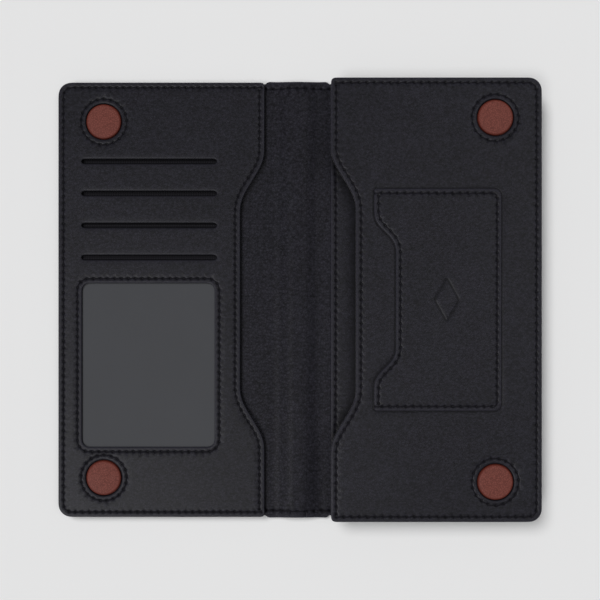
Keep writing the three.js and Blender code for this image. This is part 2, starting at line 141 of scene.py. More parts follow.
def rounded(path, closed, rounds=2):
    """Takes the facets out of a path that has even steps."""
    for _ in range(rounds):
        if closed:
            path = (np.roll(path, 1, 0) + 2 * path + np.roll(path, -1, 0)) / 4
        else:
            middle = (path[:-2] + 2 * path[1:-1] + path[2:]) / 4
            path = np.vstack([path[:1], middle, path[-1:]])
    return path


def outline_of(loop, smooth=2):
    return rounded(resampled(loop, BOUNDARY_STEP, True), True, smooth)


def run_of(node, z):
    """The middle line of a flat ribbon of thread: (path, closed)."""
    loops = flat_loops(node, z)
    if len(loops) == 2:
        outer, inner = loops
        near = [inner[np.argmin(np.hypot(*(inner - p).T))] for p in outer]
        return (outer + np.array(near)) / 2, True
    loop = loops[0]
    ahead = np.roll(loop, -1, 0) - loop
    heading = np.arctan2(ahead[:, 1], ahead[:, 0])
    turn = (heading - np.roll(heading, 1) + math.pi) % (2 * math.pi) - math.pi
    corners = set(np.argsort(-np.abs(turn))[:4])
    n = len(loop)
    ends = [k for k in corners if (k + 1) % n in corners and np.hypot(*ahead[k]) < 1]
    first, second = sorted(ends)
    sides = [loop[first + 1 : second + 1], np.roll(loop, -second - 1, axis=0)[: n - second + first]]
    left = resampled(sides[0], THREAD_PATH_STEP, False)
    count = len(left)
    back = sides[1][::-1]
    right = resampled(back, np.hypot(*np.diff(back, axis=0).T).sum() / (count - 1), False)
    return rounded((left + right[:count]) / 2, False), False


# ---------------------------------------------------------------- plane geometry
def normals(path, closed):
    """Unit normals on the left of the path, which is the inside of an anticlockwise loop."""
    if closed:
        along = np.roll(path, -1, 0) - np.roll(path, 1, 0)
    else:
        along = np.gradient(path, axis=0)
    along /= np.maximum(np.hypot(*along.T), 1e-9)[:, None]
    return np.column_stack([-along[:, 1], along[:, 0]])


def nearest(points, path, closed):
    """Each point's distance to the path, and how far along the path that is."""
    a = path if closed else path[:-1]
    b = np.roll(path, -1, 0) if closed else path[1:]
    ab = b - a
    length = np.maximum(np.hypot(*ab.T), 1e-9)
    begins = np.concatenate([[0], np.cumsum(length)])[:-1]
    distance, along = np.empty(len(points)), np.empty(len(points))
    for i in range(0, len(points), 1500):
        ap = points[i : i + 1500, None, :] - a[None]
        t = np.clip((ap * ab).sum(2) / length**2, 0, 1)
        d = np.hypot(*np.moveaxis(ap - t[..., None] * ab, 2, 0))
        k = d.argmin(1)
        row = np.arange(len(k))
        distance[i : i + 1500] = d[row, k]
        along[i : i + 1500] = begins[k] + t[row, k] * length[k]
    return distance, along


def inside(points, loop):
    x, y = points[:, 0, None], points[:, 1, None]
    ax, ay = loop.T
    bx, by = np.roll(loop, -1, 0).T
    crossing = (ay > y) != (by > y)
    with np.errstate(divide="ignore", invalid="ignore"):
        reach = ax + (y - ay) * (bx - ax) / (by - ay)
    return (crossing & (x < reach)).sum(1) % 2 == 1


def closest(points, paths):
    """The smallest distance to any of several paths."""
    if not paths:
        return np.full(len(points), 99.0)
    return np.min([nearest(points, path, closed)[0] for path, closed, *_ in paths], axis=0)


def length_of(path, closed):
    return float(np.hypot(*np.diff(np.vstack([path, path[:1]]) if closed else path, axis=0).T).sum())


def sewn(points, runs):
    """How deep the stitches pull the leather in, and how much shade is painted into the leather along the
    stitch groove and at the needle holes.
    """
    dent, seam = np.zeros(len(points)), np.zeros(len(points))
    for path, closed, pitch in runs:
        d, along = nearest(points, path, closed)
        turns = along / length_of(path, closed) * stitch_count(path, closed, pitch)
        from_hole = np.hypot(d, (turns - np.round(turns)) * pitch)
        hole = np.exp(-((from_hole / HOLE_WIDTH) ** 2))
        line = np.exp(-((d / GROOVE_WIDTH) ** 2))
        dent += GROOVE * line + HOLE * hole - 0.015 * np.exp(-(((d - 0.9) / 0.4) ** 2))
        seam = np.maximum(seam, np.maximum(0.3 * line, 1.25 * hole))
    return dent, seam


def stitch_count(path, closed, pitch):
    return max(1, round(length_of(path, closed) / pitch))


# ---------------------------------------------------------------- meshes
def new_object(name, verts_mm, faces, materials, sharp=50):
    mesh = bpy.data.meshes.new(name)
    mesh.from_pydata([tuple(v) for v in np.asarray(verts_mm, float) * 0.001], [], faces)
    bm = bmesh.new()
    bm.from_mesh(mesh)
    bmesh.ops.recalc_face_normals(bm, faces=bm.faces)
    for face in bm.faces:
        face.smooth = True
    for edge in bm.edges:
        if edge.is_manifold and edge.calc_face_angle() > math.radians(sharp):
            edge.smooth = False
    bm.to_mesh(mesh)
    bm.free()
    mesh.validate()
    obj = bpy.data.objects.new(name, mesh)
    bpy.context.scene.collection.objects.link(obj)
    for material in materials:
        mesh.materials.append(material)
    return obj


def add_attribute(obj, name, values):
    attribute = obj.data.attributes.new(name, "FLOAT", "POINT")
    attribute.data.foreach_set("value", np.asarray(values, np.float32))


def triangulated(loops, inner):
    """Triangles between closed loops, the first being the outline, through the inner points."""
    points = np.vstack([*loops, inner]) if len(inner) else np.vstack(loops)
    edges, first = [], 0
    for loop in loops:
        n = len(loop)
        edges += [(first + i, first + (i + 1) % n) for i in range(n)]
        first += n
    out, _, faces, origins, _, _ = delaunay_2d_cdt(
        [Vector(p) for p in points], edges, [], 0, 1e-4
    )
    out = np.array([tuple(p) for p in out])
    place = {source: i for i, sources in enumerate(origins) for source in sources}
    boundary, first = [], 0
    for loop in loops:
        boundary.append([place[first + i] for i in range(len(loop))])
        first += len(loop)
    faces = np.array([f for f in faces if len(f) == 3])
    centres = out[faces].mean(1)
    keep = inside(centres, loops[0])
    for hole in loops[1:]:
        keep &= ~inside(centres, hole)
    return out, faces[keep], boundary


def panel_points(loops, rims, runs, mark, columns):
    """Points inside a panel: rings along its edges, rows along its stitches, and a grid between them."""
    rings = []
    for offset in EDGE_RINGS:
        for path, closed in rims:
            ring = path + normals(path, closed) * offset
            rings.append(ring[closest(ring, rims) > offset * 0.9])
    rows = []
    for path, closed, pitch in runs:
        steps = STEPS_A_STITCH * stitch_count(path, closed, pitch)
        fine = resampled(path, length_of(path, closed) / steps, closed)
        side = normals(fine, closed)
        rows += [fine + side * o for o in (-0.85, -0.48, -0.24, 0, 0.24, 0.48, 0.85)]
    for path, closed in mark:
        fine = resampled(path, 0.4, closed)
        rows += [fine + normals(fine, closed) * o for o in (-0.8, -0.4, 0, 0.4, 0.8)]
    rows = np.vstack(rows) if rows else np.empty((0, 2))
    rows = rows[closest(rows, rims) > 0.4] if len(rows) else rows
    low, high = loops[0].min(0), loops[0].max(0)
    xs = np.arange(low[0] + GRID_STEP / 2, high[0], GRID_STEP)
    grid = [
        (x, y + (GRID_STEP / 2 if i % 2 else 0))
        for i, x in enumerate(xs)
        for y in np.arange(low[1] + GRID_STEP / 2, high[1], GRID_STEP)
    ]
    grid += [(x, y) for x in columns for y in np.arange(low[1] + 1.5, high[1] - 1, 3)]
    grid = np.array(grid)
    grid = grid[(closest(grid, rims) > 1.5) & (closest(grid, [*runs, *mark]) > 1.3)]
    points = np.vstack([*rings, rows, grid])
    keep = inside(points, loops[0])
    for hole in loops[1:]:
        keep &= ~inside(points, hole)
    on_edge = closest(points, [(loop, True) for loop in loops]) < 0.06
    return points[keep & ~on_edge]


def edge_drop(distance, width, depth):
    u = np.clip(1 - distance / width, 0, 1)
    return depth * (1 - np.sqrt(np.maximum(0, 1 - u**2)))


def leather_panel(name, outline, top, bottom, material, **options):
    """A closed piece of leather. top and bottom give heights at points. options: holes, runs (stitch lines),
    stitched_side (1 top, -1 bottom), rim (the open path that is a real edge, where the outline isn't one all
    round), columns (extra x positions), edge (width, depth) of the rounding, marks (pressed lines, painted
    darker in their groove as shade), wells (holes whose sunk edge is painted dark, as shade in the gap round
    a disc), shade (painted shade: how much darker the leather is drawn at points)."""
    holes = options.get("holes", [])
    runs = options.get("runs", [])
    side = options.get("stitched_side", 1)
    width, depth = options.get("edge", (0.5, 0.28))
    loops = [outline, *holes]
    rims = [(options["rim"], False)] if "rim" in options else [(outline, True)]
    rims += [(hole[::-1], True) for hole in holes]
    mark = [(path, True) for path in options.get("marks", [])]
    inner = panel_points(loops, rims, runs, mark, options.get("columns", ()))
    points, faces, boundary = triangulated(loops, inner)

    rim = closest(points, rims)
    dent, seam = sewn(points, runs)
    # Pressed lines are sunk and painted darker in their groove: painted shade.
    pressed = np.exp(-((closest(points, mark) / 0.5) ** 2))
    dent, seam = dent + 0.24 * pressed, np.maximum(seam, 0.8 * pressed)
    # A well's edge is sunk and painted dark: painted shade in the gap round a disc.
    well = closest(points, [(hole, True) for hole in options.get("wells", [])])
    dent += 0.35 * np.exp(-well / 0.3)
    seam = np.maximum(seam, np.exp(-((well / 0.5) ** 2)))
    if "shade" in options:
        seam = np.maximum(seam, options["shade"](points))
    upper, lower = top(points), bottom(points)
    drop = edge_drop(rim, width, depth)
    under = edge_drop(rim, 0.35, 0.25)
    if side > 0:
        upper, lower = upper - drop - dent, lower + under
    else:
        upper, lower = upper - under, lower + drop + dent

    n = len(points)
    verts = np.vstack([np.column_stack([points, upper]), np.column_stack([points, lower])])
    polygons = [tuple(f) for f in faces] + [tuple(f[::-1] + n) for f in faces]
    for index, ring in enumerate(boundary):
        order = ring if index == 0 else ring[::-1]
        for a, b in zip(order, order[1:] + order[:1]):
            polygons.append((a + n, b + n, b, a))
    polygons = [tuple(int(i) for i in p) for p in polygons]
    obj = new_object(name, verts, polygons, [material])
    add_attribute(obj, "seam", np.concatenate([seam, seam]))
    add_attribute(obj, "rim", np.exp(-np.concatenate([rim, rim]) / RIM_FADE))
    return obj


def lathe(name, x, y, profile, material, steps=56, wobble=0.0):
    """A closed body of revolution. profile starts and ends on the axis."""
    verts, faces = [(x, y, profile[0][1])], []
    rings = profile[1:-1]
    for radius, z in rings:
        for k in range(steps):
            angle = 2 * math.pi * k / steps
            px, py = x + radius * math.cos(angle), y + radius * math.sin(angle)
            lump = wobble * noise.noise(Vector((px * 0.35, py * 0.35, 3.1)))
            verts.append((px, py, z + lump))
    verts.append((x, y, profile[-1][1] + wobble * noise.noise(Vector((x * 0.35, y * 0.35, 3.1)))))
    for k in range(steps):
        j = (k + 1) % steps
        faces.append((0, 1 + k, 1 + j))
        for r in range(len(rings) - 1):
            a, b = 1 + r * steps, 1 + (r + 1) * steps
            faces.append((a + k, b + k, b + j, a + j))
        last = 1 + (len(rings) - 1) * steps
        faces.append((last + k, len(verts) - 1, last + j))
    return new_object(name, verts, faces, [material])


def stitches(name, run, height, facing, material):
    """One run of stitches: short lengths of two-ply thread that dive into the leather at both ends."""
    path, closed, pitch = run
    total, count = length_of(path, closed), stitch_count(path, closed, pitch)
    pitch = total / count
    fine = resampled(path, 0.25, closed)
    if closed:
        fine = np.vstack([fine, fine[:1]])
    s = np.linspace(0, total, len(fine))
    at = lambda value: np.column_stack([np.interp(value, s, fine[:, k]) for k in (0, 1)])
    sides, stations = 8, np.linspace(-1, 1, 7)
    verts, faces = [], []
    for i in range(count):
        middle = (i + 0.5) * pitch
        ends = at(np.array([middle - pitch * 0.45, middle + pitch * 0.45]))
        along = (ends[1] - ends[0]) / max(1e-9, np.hypot(*(ends[1] - ends[0])))
        across = np.array([-along[1], along[0]])
        slant = 0.13 + 0.05 * noise.noise(Vector((middle, len(name), 0.5)))
        centre = at(np.array([middle]))[0]
        z0 = float(height(centre[None])[0])
        first = len(verts)
        for u in stations:
            p = centre + along * u * pitch * 0.43 + across * slant * u
            sink = 0.16 + 0.38 * abs(u) ** 3
            girth = THREAD_R * (1 - 0.3 * abs(u) ** 3)
            for k in range(sides):
                angle = 2 * math.pi * k / sides
                r = girth * (1 + 0.13 * math.cos(2 * angle + 3.4 * u))
                q = p + across * r * math.cos(angle)
                verts.append((*q, z0 + facing * (r * math.sin(angle) * 0.85 - sink)))
        for r in range(len(stations) - 1):
            for k in range(sides):
                a, b = first + r * sides + k, first + r * sides + (k + 1) % sides
                faces.append((a, b, b + sides, a + sides))
        faces.append(tuple(first + k for k in reversed(range(sides))))
        faces.append(tuple(first + (len(stations) - 1) * sides + k for k in range(sides)))
    return new_object(name, verts, faces, [material], sharp=80)


# ---------------------------------------------------------------- materials
def shader(name, color, roughness, **sockets):
    material = bpy.data.materials.new(name)
    material.use_nodes = True
    material.diffuse_color = (*color, 1)
    bsdf = material.node_tree.nodes["Principled BSDF"]
    bsdf.inputs["Base Color"].default_value = (*color, 1)
    bsdf.inputs["Roughness"].default_value = roughness
    for key, value in sockets.items():
        bsdf.inputs[key.replace("_", " ")].default_value = value
    return material, material.node_tree, bsdf


def srgb(r, g, b):
    line = lambda c: c / 12.92 if c <= 0.04045 else ((c + 0.055) / 1.055) ** 2.4
    return tuple(line(c / 255) for c in (r, g, b))


def node(tree, kind, inputs=(), **settings):
    made = tree.nodes.new(kind)
    for key, value in settings.items():
        setattr(made, key, value)
    for key, value in dict(inputs).items():
        if isinstance(value, bpy.types.NodeSocket):
            tree.links.new(value, made.inputs[key])
        else:
            made.inputs[key].default_value = value
    return made


def ramp(tree, factor, low, high, value_low=0.0, value_high=1.0):
    made = node(
        tree,
        "ShaderNodeMapRange",
        {"Value": factor, "From Min": low, "From Max": high, "To Min": value_low, "To Max": value_high},
    )
    return made.outputs["Result"]


def math_node(tree, operation, a, b):
    made = tree.nodes.new("ShaderNodeMath")
    made.operation = operation
    for socket, value in zip(made.inputs, (a, b)):
        if isinstance(value, bpy.types.NodeSocket):
            tree.links.new(value, socket)
        else:
            socket.default_value = value
    return made.outputs[0]


def mixed(tree, factor, a, b):
    made = tree.nodes.new("ShaderNodeMix")
    made.data_type = "RGBA"
    for socket, value in ((made.inputs[0], factor), (made.inputs[6], a), (made.inputs[7], b)):
        if isinstance(value, bpy.types.NodeSocket):
            tree.links.new(value, socket)
        else:
            socket.default_value = (*value, 1) if isinstance(value, tuple) else value
    return made.outputs[2]


# The grain is drawn out along X, as on leather that has been stretched over the leaves.
GRAIN_DRAW = (0.8, 1.15, 1.0)


def leather(
    name, color, pebble=0.75, roughness=0.47, relief=1.0, mottle=0.3, edge_tone_and_highlight=None, burnish=0.12, **sockets
):
    """Grained leather. pebble is the size of the grain in millimetres, burnish how glossy its edges are."""
    sockets = {"Specular_IOR_Level": 0.12, "Coat_Weight": 0.34, "Coat_Roughness": 0.4, **sockets}
    material, tree, bsdf = shader(name, color, roughness, **sockets)
    place = node(tree, "ShaderNodeTexCoord").outputs["Object"]
    drawn = node(tree, "ShaderNodeVectorMath", {0: place, 1: GRAIN_DRAW}, operation="MULTIPLY").outputs[0]

    def cloud(scale, detail, **more):
        inputs = {"Vector": drawn, "Scale": scale, "Detail": detail, **more}
        return node(tree, "ShaderNodeTexNoise", inputs).outputs["Fac"]

    warp = node(tree, "ShaderNodeTexNoise", {"Vector": place, "Scale": 420.0, "Detail": 2.0})
    offset = node(
        tree,
        "ShaderNodeVectorMath",
        {0: warp.outputs["Color"], 1: (0.0011 * pebble,) * 3},
        operation="MULTIPLY",
    )
    bent = node(tree, "ShaderNodeVectorMath", {0: place, 1: offset.outputs[0]}, operation="ADD")
    cells = node(
        tree,
        "ShaderNodeTexVoronoi",
        {"Vector": bent.outputs[0], "Scale": 1000.0 / pebble},
        feature="DISTANCE_TO_EDGE",
    ).outputs["Distance"]
    pores = cloud(2600.0, 3.0)
    lumps = cloud(980.0 / pebble, 3.0, Roughness=0.6)
    folds = cloud(190.0, 3.0, Roughness=0.55, Distortion=0.5)
    broad = cloud(32.0, 4.0)

    crease = ramp(tree, cells, 0.0, 0.2)
    wide = ramp(tree, broad, 0.3, 0.7, 0, 0.15)
    tone = math_node(tree, "ADD", wide, ramp(tree, folds, 0.35, 0.65, 0, 0.15))
    tone = math_node(tree, "ADD", tone, ramp(tree, lumps, 0.36, 0.64, 0, 0.7))
    dark = tuple(c * (1 - mottle) for c in color)
    light = tuple(min(1, c * (1 + mottle)) for c in color)
    base = mixed(tree, tone, dark, light)
    # Painted shade: the grain's creases are drawn darker.
    lines = mixed(tree, ramp(tree, crease, 0, 1, 0.55, 0), base, tuple(c * 0.3 for c in color))
    rim = node(tree, "ShaderNodeAttribute", attribute_name="rim").outputs["Fac"]
    seam = node(tree, "ShaderNodeAttribute", attribute_name="seam").outputs["Fac"]
    # By default the edges are drawn lighter: a painted highlight where the edges catch the light. The tan
    # discs pass a darker edge colour, their own edge tone.
    edge_tone_and_highlight = edge_tone_and_highlight or tuple(min(1, c * 1.9) for c in color)
    edge_toned_and_lit = mixed(tree, ramp(tree, rim, 0.1, 0.9, 0, 0.8), lines, edge_tone_and_highlight)
    # Painted shade: the colour goes nearly black where seam is high, in needle holes, stitch grooves, pressed
    # lines, round the disc wells and inside the sleeve.
    with_painted_shade = mixed(tree, ramp(tree, seam, 0.1, 1.0, 0, 0.92), edge_toned_and_lit, tuple(c * 0.12 for c in color))
    tree.links.new(with_painted_shade, bsdf.inputs["Base Color"])

    gloss = math_node(
        tree,
        "ADD",
        ramp(tree, folds, 0.3, 0.7, roughness - 0.06, roughness + 0.06),
        ramp(tree, crease, 0, 1, 0.12, 0),
    )
    gloss = math_node(tree, "ADD", gloss, ramp(tree, seam, 0.1, 1.0, 0, 0.3))
    gloss = math_node(tree, "SUBTRACT", gloss, ramp(tree, rim, 0.45, 0.85, 0, burnish))
    tree.links.new(gloss, bsdf.inputs["Roughness"])

    normal = None
    for height, strength, depth in (
        (pores, 0.3, 0.00002),
        (crease, 0.6, 0.00007),
        (lumps, 0.6, 0.00013),
        (folds, 0.4, 0.00028),
    ):
        inputs = {"Strength": min(1.0, strength * relief), "Distance": depth, "Height": height}
        if normal:
            inputs["Normal"] = normal
        normal = node(tree, "ShaderNodeBump", inputs).outputs[0]
    tree.links.new(normal, bsdf.inputs["Normal"])
    return material


def woven(name, color, pitch=0.5, roughness=0.85, **sockets):
    """Plain weave: two sets of waves, with uneven yarns."""
    material, tree, bsdf = shader(name, color, roughness, **sockets)
    place = node(tree, "ShaderNodeTexCoord").outputs["Object"]
    waves = [
        node(
            tree,
            "ShaderNodeTexWave",
            {"Vector": place, "Scale": 1000.0 / pitch / 6.3, "Distortion": 0.6, "Detail": 1.0},
            bands_direction=axis,
        ).outputs["Fac"]
        for axis in ("X", "Y")
    ]
    weave = math_node(tree, "MULTIPLY", *waves)
    shade = mixed(tree, weave, tuple(c * 0.6 for c in color), tuple(min(1, c * 1.3) for c in color))
    tree.links.new(shade, bsdf.inputs["Base Color"])
    bump = node(tree, "ShaderNodeBump", {"Strength": 0.4, "Distance": 0.0001, "Height": weave})
    tree.links.new(bump.outputs[0], bsdf.inputs["Normal"])
    return material


def fibrous(name, color, size=1.0, roughness=0.8, contrast=0.2, strength=0.3, **sockets):
    """Suede, board, thread or brushed metal: fine uneven fibres."""
    material, tree, bsdf = shader(name, color, roughness, **sockets)
    place = node(tree, "ShaderNodeTexCoord").outputs["Object"]
    fibres = node(
        tree,
        "ShaderNodeTexNoise",
        {"Vector": place, "Scale": 1800.0 / size, "Detail": 5.0, "Distortion": 1.2},
    ).outputs["Fac"]
    shade = mixed(
        tree,
        ramp(tree, fibres, 0.3, 0.7),
        tuple(c * (1 - contrast) for c in color),
        tuple(min(1, c * (1 + contrast)) for c in color),
    )
    tree.links.new(shade, bsdf.inputs["Base Color"])
    bump = node(tree, "ShaderNodeBump", {"Strength": strength, "Distance": 0.00008, "Height": fibres})
    tree.links.new(bump.outputs[0], bsdf.inputs["Normal"])
    return material


def film(name, color):
    """Cloudy plastic: an even milky sheet with a faint haze."""
    material, tree, bsdf = shader(name, color, 0.6, Specular_IOR_Level=0.25)
    place = node(tree, "ShaderNodeTexCoord").outputs["Object"]
    haze = node(tree, "ShaderNodeTexNoise", {"Vector": place, "Scale": 55.0, "Detail": 5.0}).outputs["Fac"]
    speck = node(tree, "ShaderNodeTexNoise", {"Vector": place, "Scale": 3000.0, "Detail": 1.0}).outputs["Fac"]
    cloudy = mixed(
        tree, ramp(tree, haze, 0.3, 0.7), tuple(c * 0.96 for c in color), tuple(c * 1.04 for c in color)
    )
    tree.links.new(cloudy, bsdf.inputs["Base Color"])
    tree.links.new(ramp(tree, haze, 0.3, 0.7, 0.57, 0.63), bsdf.inputs["Roughness"])
    bump = node(tree, "ShaderNodeBump", {"Strength": 0.12, "Distance": 0.00003, "Height": speck})
    tree.links.new(bump.outputs[0], bsdf.inputs["Normal"])
    return material


BLACK = leather("black_leather", (0.0118, 0.0113, 0.0163), pebble=0.9, mottle=0.74)
LINING = leather(
    "grained_lining",
    (0.0141, 0.0136, 0.0187),
    pebble=1.15,
    roughness=0.5,
    relief=1.6,
    mottle=0.72,
    Coat_Weight=0.13,
)
TAN = leather(
    "tan_leather",
    (0.168, 0.052, 0.041),
    pebble=0.8,
    roughness=0.6,
    relief=0.6,
    mottle=0.07,
    edge_tone_and_highlight=(0.07, 0.009, 0.004),
    burnish=0.0,
    Coat_Weight=0.08,
)
THREAD = fibrous(
    "thread", (0.0085, 0.008, 0.0105), size=0.5, roughness=0.8, contrast=0.3, Specular_IOR_Level=0.15
)
SUEDE = fibrous("suede", srgb(22, 21, 25), size=0.8, roughness=0.95, contrast=0.35, Sheen_Weight=0.2)
BOARD = fibrous("stiffener_board", srgb(74, 72, 68), size=1.5, roughness=0.85)
WEAVE = woven("pocket_fabric", (0.0135, 0.013, 0.0155), Specular_IOR_Level=0.05)
METAL = fibrous(
    "magnet", srgb(188, 187, 182), size=2.0, roughness=0.3, contrast=0.05, strength=0.1, Metallic=1.0
)
FILM = film("window_film", (0.0535, 0.055, 0.0602))


# ---------------------------------------------------------------- shared shapes of the two leaves
LEAF = box_mm("phone_leaf_cover")[1]
EDGE_X, HALF_Y, COVER_TOP = LEAF
LINING_LOW, LINING_HIGH = (b[2] for b in box_mm("phone_leaf_lining"))


def arch(points):
    """How far the spine's leather stands off the table: a low rounded ridge."""
    return ARCH_RISE * (1 - ease((np.abs(points[:, 0]) - ARCH_FLAT) / (ARCH_END - ARCH_FLAT)))


def flared(path):
    """The spine's ends stand a little past the ends of the leaves."""
    x, y = path.T
    stand = FLARE[1] + (FLARE[0] - FLARE[1]) * arch(path) / ARCH_RISE
    stand *= (1 - ease((np.abs(x) - 12.2) / 1.3)) * (np.abs(y) > 80)
    return np.column_stack([x, y + np.sign(y) * stand])


def ripple(points, seed, size, amount):
    """Slow waves, never below zero."""
    values = [noise.noise(Vector((x / size, y / size, seed))) for x, y in points]
    return amount * (0.5 + 0.5 * np.clip(np.array(values) * 1.6, -1, 1))


def card_crown(points):
    """The card panel swells a little between its edges."""
    x, y = points.T
    mask = ease((EDGE_X + x) / 16) * ease((-24 - x) / 12) * ease((HALF_Y - np.abs(y)) / 14)
    return mask * ripple(points, 1.7, 26, 0.06)


def sleeve_crown(points):
    """The sleeve's front swells a little between its edges."""
    x, y = points.T
    mask = ease((x - 24) / 20) * ease((EDGE_X - x) / 18) * ease((HALF_Y - np.abs(y)) / 18)
    return mask * ripple(points, 5.3, 30, 0.1)


def level(value, *reliefs):
    return lambda points: value + sum((relief(points) for relief in reliefs), np.zeros(len(points)))


def finish(obj, replaced=(), body=None):
    if replaced:
        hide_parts(*replaced)
    if body:
        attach(obj, body)
    return obj


def sewn_run(node_name, z, surface, facing, body, name):
    """Stitches in place of a CAD thread. Returns the run, for the groove in its leather."""
    pitch = PHONE_PITCH if body == "phone_leaf" else CARD_PITCH
    run = (*run_of(node_name, z), pitch)
    finish(stitches(name, run, surface, facing, THREAD), [node_name], body)
    return run


# ---------------------------------------------------------------- cover and lining, bending at the creases
def side_path(side):
    """The true edge of one leaf's cover: along the bottom, round and back along the top to the cut."""
    loop = flat_loops("phone_leaf_cover", COVER_TOP)[0]
    start = np.argmin(loop[:, 0] + (loop[:, 1] > 0) * 500)
    loop = np.roll(loop, -start, axis=0)
    loop[np.abs(loop[:, 0]) < 9, 0] = CUT_X
    path = flared(resampled(loop, BOUNDARY_STEP, False))
    return path if side > 0 else (path * (-1, 1))[::-1]


def leaf_outline(side):
    path = side_path(side)
    join = np.linspace(path[-1], path[0], 62)[1:-1]
    return np.vstack([path, join]), path


HEM_Y = HALF_Y - 2.1
COLUMNS = np.arange(CUT_X + 0.55, 13, 0.75)
LEAVES = {1: ("phone", "phone_leaf", "spine_right_half"), -1: ("card", "card_leaf", "spine_left_half")}


def lining_top(points):
    x = np.abs(points[:, 0])
    strip = CREASE_LEVEL + (LINING_HIGH - CREASE_LEVEL) * ease((x - 7.5) / 4.5)
    gutter = 1 - ease((x - 24) / 2)
    return strip + arch(points) + gutter * ripple(points, 9.1, 14, 0.06)


def lining_bottom(rim):
    def height(points):
        top = lining_top(points)
        shell = ease((closest(points, [(rim, False)]) - 2.3) / 1.0)
        return LINING_LOW + arch(points) + shell * (top - 0.4 - LINING_LOW - arch(points))

    return height


def hem_run(side, end):
    """The stitches along the end of the gutter, which start at the cut."""
    outer = 13.4 if side > 0 else 13.2
    path = np.array([[side * (CUT_X + 0.3), end * HEM_Y], [side * outer, end * HEM_Y]])
    return resampled(path, THREAD_PATH_STEP, False), False, HEM_PITCH


for side, (word, body, half) in LEAVES.items():
    outline, rim = leaf_outline(side)
    columns = side * COLUMNS
    thread = f"thread_{word}_leaf_cover"
    under = box_mm(thread)[0][2]
    cover_run = sewn_run(thread, under, level(0, arch), -1, body, f"stitches_{word}_cover")
    cover = leather_panel(
        f"{word}_cover_leather",
        outline,
        level(COVER_TOP, arch),
        level(0, arch),
        BLACK,
        runs=[cover_run],
        rim=rim,
        stitched_side=-1,
        columns=columns,
    )
    finish(cover, [f"{word}_leaf_cover"])
    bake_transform(cover)
    hems = [hem_run(side, end) for end in (1, -1)]
    lining = leather_panel(
        f"{word}_lining_leather",
        outline,
        lining_top,
        lining_bottom(rim),
        LINING,
        runs=hems,
        rim=rim,
        columns=columns,
    )
    finish(lining, [f"{word}_leaf_lining"])
    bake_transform(lining)
    which = "right" if side > 0 else "left"
    for run, end in zip(hems, ("top", "bottom")):
        hem = stitches(f"stitches_hem_{word}_{end}", run, lining_top, 1, THREAD)
        finish(hem, [f"thread_spine_{which}_{end}"])
        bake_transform(hem)


def spine_middle():
    """The middle of the spine, between the two cuts."""
    ends = flared(np.array([[-CUT_X, -HALF_Y], [CUT_X, -HALF_Y], [CUT_X, HALF_Y], [-CUT_X, HALF_Y]]))
    bottom, right = np.linspace(ends[0], ends[1], 9), np.linspace(ends[1], ends[2], 62)
    top, left = np.linspace(ends[2], ends[3], 9), np.linspace(ends[3], ends[0], 62)
    outline = np.vstack([bottom, right[1:], top[1:], left[1:-1]])
    rims = [bottom, top]
    columns = np.arange(-CUT_X + 0.6, CUT_X, 0.6)
    hems = [
        (resampled(np.array([[-x, y], [x, y]]), THREAD_PATH_STEP, False), False, HEM_PITCH)
        for x, y in ((CUT_X - 0.3, HEM_Y), (CUT_X - 0.3, -HEM_Y))
    ]

    def ends_only(points):
        return np.min([nearest(points, path, False)[0] for path in rims], axis=0)

    def build(name, top_height, low_height, material, runs, side):
        near_end = HALF_Y + FLARE[0] - np.array([*EDGE_RINGS, 1.4])
        levels = np.concatenate([-near_end, np.arange(-88, 88.1, 2.2), near_end])
        inner = [(x, y) for x in columns for y in levels]
        rows = [
            resampled(path, 0.46, closed) + (0, offset)
            for path, closed, _ in runs
            for offset in (-0.5, -0.25, 0, 0.25, 0.5)
        ]
        inner = np.vstack([inner, *rows]) if rows else np.array(inner)
        inner = inner[np.abs(inner[:, 0]) < CUT_X - 0.2]
        points, faces, boundary = triangulated([outline], inner)
        rim = ends_only(points)
        dent, seam = sewn(points, runs)
        upper = top_height(points) - dent - edge_drop(rim, 0.6, 0.3 if side > 0 else 0.2)
        lower = low_height(points) + edge_drop(rim, 0.6, 0.3 if side < 0 else 0.1)
        n = len(points)
        verts = np.vstack([np.column_stack([points, upper]), np.column_stack([points, lower])])
        polygons = [tuple(f) for f in faces] + [tuple(f[::-1] + n) for f in faces]
        ring = boundary[0]
        polygons += [(a + n, b + n, b, a) for a, b in zip(ring, ring[1:] + ring[:1])]
        obj = new_object(name, verts, [tuple(int(i) for i in p) for p in polygons], [material])
        add_attribute(obj, "seam", np.concatenate([seam, seam]))
        add_attribute(obj, "rim", np.exp(-np.concatenate([rim, rim]) / RIM_FADE))
        return obj

    cover = build("spine_cover_leather", level(COVER_TOP, arch), level(0, arch), BLACK, [], -1)
    finish(cover, ["spine_right_cover", "spine_left_cover"])
    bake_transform(cover)
    lining = build("spine_lining_leather", lining_top, level(LINING_LOW, arch), LINING, hems, 1)
    finish(lining, ["spine_right_lining", "spine_left_lining"])
    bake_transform(lining)
    for run, end in zip(hems, ("top", "bottom")):
        hem = stitches(f"stitches_hem_spine_{end}", run, lining_top, 1, THREAD)
        finish(hem)
        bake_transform(hem)


spine_middle()


